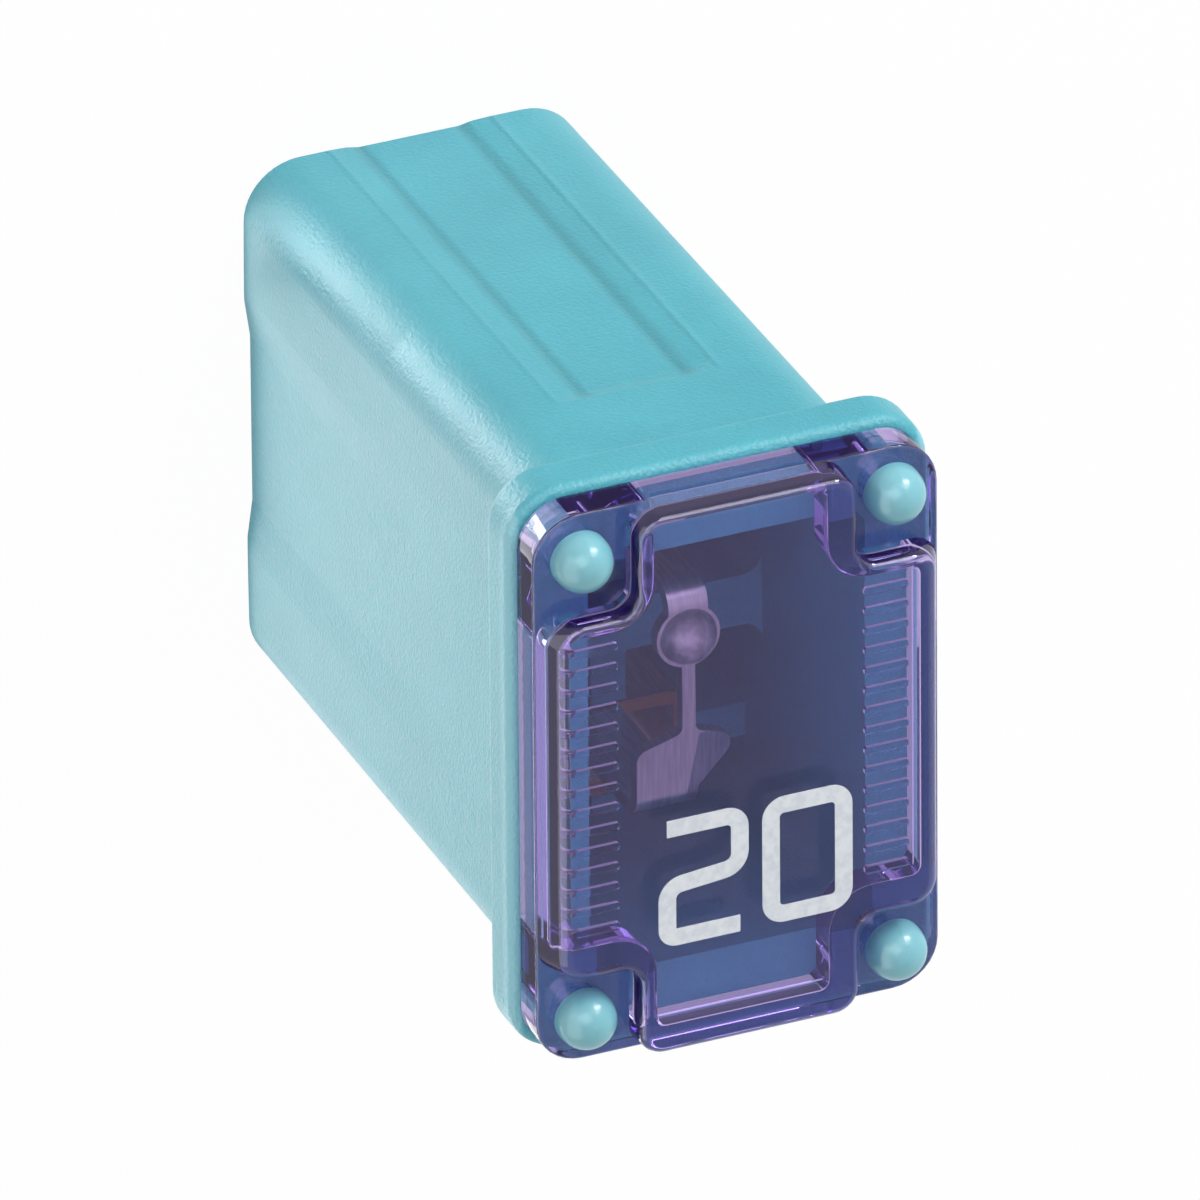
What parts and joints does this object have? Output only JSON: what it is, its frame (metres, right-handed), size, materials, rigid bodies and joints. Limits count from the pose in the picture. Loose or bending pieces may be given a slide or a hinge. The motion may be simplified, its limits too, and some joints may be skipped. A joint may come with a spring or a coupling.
{
  "type": "micro female fuse",
  "caption": "Small upright cartridge fuse: teal plastic housing open at the rim over folded female blade terminals, with a violet clear window cap held by heat-staked posts.",
  "frame": {"origin": "centre of the open rim, on the plane that the fuse stands on", "axes": "+Z from the open rim to the window; X along the long side of the window, +X at the tin pellet's end; Y across the window"},
  "size_m": [0.0136, 0.0096, 0.0182],
  "materials": {
    "housing_plastic": "fine satin, moulded teal plastic",
    "window_plastic": "clear violet, glossy moulded plastic",
    "element_metal": "tin-plated copper alloy strip, satin",
    "tin": "dull cast tin"
  },
  "bodies": {
    "root": {"housing": "housing_plastic", "window_cap": "window_plastic", "fuse_element": "element_metal", "tin_pellet": "tin"}
  },
  "joints": []
}
